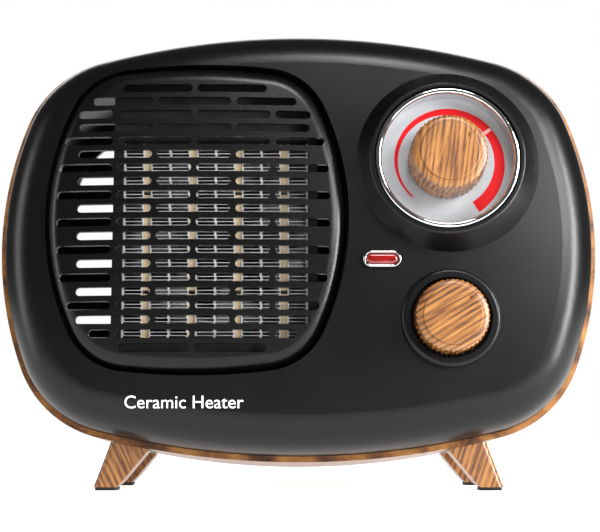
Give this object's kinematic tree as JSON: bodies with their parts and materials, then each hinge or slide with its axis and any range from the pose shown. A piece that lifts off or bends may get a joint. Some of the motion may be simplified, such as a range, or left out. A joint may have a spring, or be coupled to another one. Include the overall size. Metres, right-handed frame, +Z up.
{
  "type": "ceramic space heater",
  "caption": "Retro television-shaped ceramic fan heater with slotted outlet grille, round thermostat dial, heat selector knob and indicator lamp, on splayed legs.",
  "frame": {"origin": "centre of the footprint box at floor level, under the rubber pads", "axes": "+Z up, +X to the right seen from the front, -Y towards the front with the grille and dials"},
  "size_m": [0.31, 0.1539, 0.2392],
  "materials": {
    "black_moulding": "satin black moulding",
    "grille_black": "satin black moulding",
    "wood_sleeve": "printed wood-effect film, satin",
    "wood_leg": "printed wood-effect film, satin",
    "wood_knob": "printed wood-effect film, satin",
    "rubber_feet": "matt",
    "rear_black": "fine grained black moulding",
    "chrome_trim": "bright plated",
    "dial_silver": "satin silver with a red printed band",
    "clear_pointer": "clear",
    "red_lens": "translucent red",
    "lamp_glass": "clear",
    "steel": "plain",
    "bracket_steel": "galvanised",
    "control_moulding": "dark moulding",
    "brass_tab": "plain",
    "heater_moulding": "heat resistant moulding",
    "fin_aluminium": "bright",
    "ceramic": "matt ceramic",
    "fan_moulding": "moulded",
    "motor_steel": "plain"
  },
  "bodies": {
    "housing": {"front_bezel": "black_moulding", "grille_panel": "grille_black", "body_shell": "wood_sleeve", "leg_front_left": "wood_leg", "leg_front_right": "wood_leg", "leg_rear_left": "wood_leg", "leg_rear_right": "wood_leg", "foot_pad_front_left": "rubber_feet", "foot_pad_front_right": "rubber_feet", "foot_pad_rear_left": "rubber_feet", "foot_pad_rear_right": "rubber_feet", "rear_cover": "rear_black", "cord_gland": "rear_black", "gland_nut": "rear_black", "terminal_block": "rear_black", "dial_ring": "chrome_trim", "indicator_rim": "chrome_trim", "dial_face": "dial_silver", "indicator_lens": "red_lens", "neon_lamp": "lamp_glass", "tip_switch_pin": "steel", "leg_screws": "steel", "rear_cover_screws": "steel", "control_bracket_screws": "steel", "duct_screws": "steel", "motor_bracket_screws": "steel", "control_bracket": "bracket_steel", "motor_bracket": "bracket_steel", "thermal_cutout": "bracket_steel", "thermostat_body": "control_moulding", "selector_switch": "control_moulding", "indicator_housing": "control_moulding", "tip_switch_body": "control_moulding", "thermostat_terminals": "brass_tab", "selector_terminals": "brass_tab", "heater_terminals": "brass_tab", "air_duct": "heater_moulding", "heater_frame": "heater_moulding", "heater_fins": "fin_aluminium", "heater_plates": "fin_aluminium", "ceramic_stones": "ceramic", "fan_motor": "motor_steel"},
    "heat_dial": {"thermostat_knob": "wood_knob", "thermostat_pointer": "clear_pointer", "thermostat_shaft": "steel"},
    "mode_knob": {"selector_knob": "wood_knob", "selector_shaft": "steel"},
    "fan_rotor": {"fan_impeller": "fan_moulding", "motor_shaft": "steel"},
    "pendulum": {"tip_switch_pendulum": "steel"}
  },
  "joints": [
    {"name": "thermostat_turn", "type": "hinge", "parent": "housing", "child": "heat_dial", "pos_m": [0.0748, -0.05863, 0.16689], "axis": [0, 0.9962, -0.0872], "range_deg": [-186, 98]},
    {"name": "selector_turn", "type": "hinge", "parent": "housing", "child": "mode_knob", "pos_m": [0.0762, -0.06061, 0.08686], "axis": [0, 0.9962, -0.0872], "range_deg": [0, 135]},
    {"name": "fan_spin", "type": "hinge", "parent": "housing", "child": "fan_rotor", "pos_m": [-0.0427, -0.01013, 0.1246], "axis": [0, 0.9962, -0.0872], "continuous": true},
    {"name": "tip_swing", "type": "hinge", "parent": "housing", "child": "pendulum", "pos_m": [0.103, -0.02885, 0.09422], "axis": [1, 0, 0], "range_deg": [-18, 18]}
  ]
}
